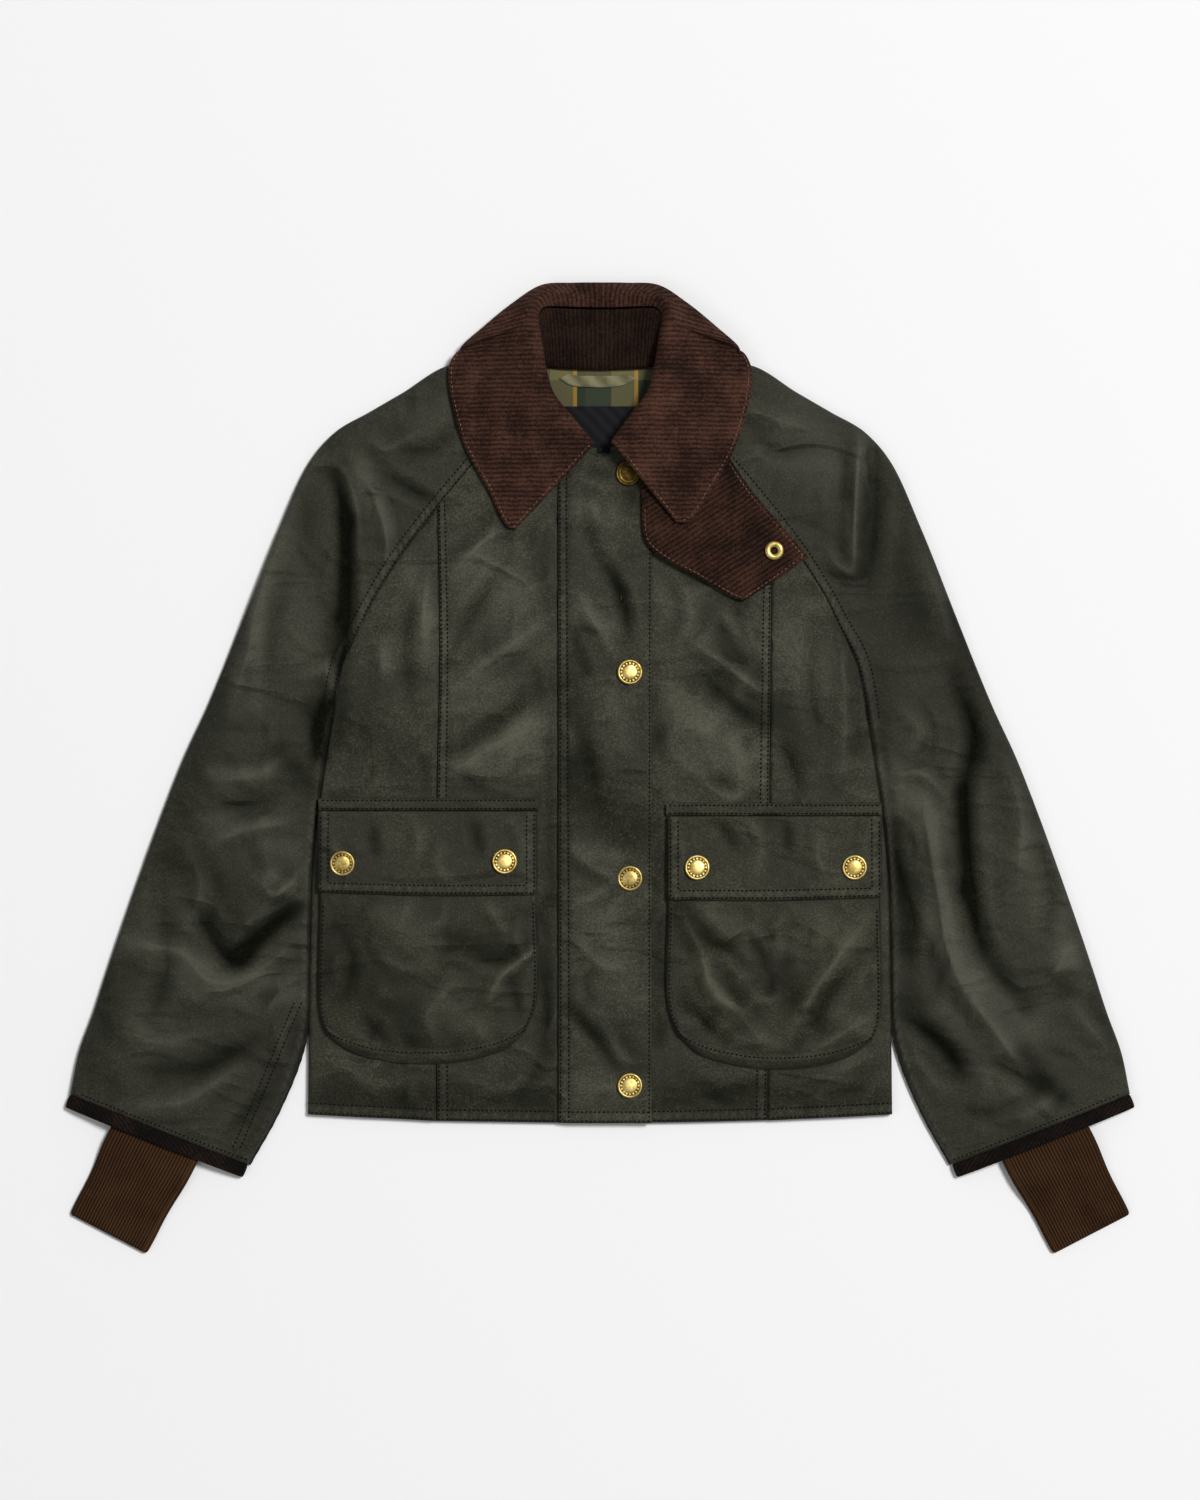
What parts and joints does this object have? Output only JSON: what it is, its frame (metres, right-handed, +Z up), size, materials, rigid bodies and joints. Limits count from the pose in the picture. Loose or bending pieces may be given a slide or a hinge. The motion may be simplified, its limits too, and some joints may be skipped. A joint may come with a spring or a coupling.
{
  "type": "waxed cotton jacket",
  "caption": "Cropped waxed cotton jacket laid flat, raglan sleeves with knit cuffs, corduroy collar and throat tab, snapped storm flap and bellows pockets.",
  "frame": {"origin": "centre of the jacket's box in plan, on the table that its back lies on", "axes": "+X to the wearer's left, +Y towards the collar, +Z up from the table"},
  "size_m": [0.8016, 0.7287, 0.0278],
  "materials": {
    "waxed_cotton": "waxed, a soft sheen",
    "corduroy": "corduroy, matt pile",
    "rib_knit": "rib knit, matt",
    "brass": "aged brass, satin",
    "lining": "brushed cotton check, matt",
    "label": "woven label, matt",
    "twill_tape": "cotton twill tape, matt"
  },
  "bodies": {
    "root": {"back": "waxed_cotton", "right_front_side": "waxed_cotton", "left_front_side": "waxed_cotton", "right_front": "waxed_cotton", "left_front": "waxed_cotton", "storm_flap": "waxed_cotton", "right_sleeve": "waxed_cotton", "left_sleeve": "waxed_cotton", "right_pocket": "waxed_cotton", "left_pocket": "waxed_cotton", "right_pocket_flap": "waxed_cotton", "left_pocket_flap": "waxed_cotton", "right_pocket_strip": "waxed_cotton", "left_pocket_strip": "waxed_cotton", "collar_stand": "corduroy", "collar_fall": "corduroy", "throat_tab": "corduroy", "right_cuff_binding": "corduroy", "left_cuff_binding": "corduroy", "right_knit_cuff": "rib_knit", "left_knit_cuff": "rib_knit", "front_snap_1": "brass", "front_snap_2": "brass", "front_snap_3": "brass", "throat_snap": "brass", "right_pocket_cap_1": "brass", "right_pocket_cap_2": "brass", "left_pocket_cap_1": "brass", "left_pocket_cap_2": "brass", "tab_ring": "brass", "neck_lining": "lining", "neck_label": "label", "size_tab": "label", "hanger_loop": "twill_tape"}
  },
  "joints": []
}
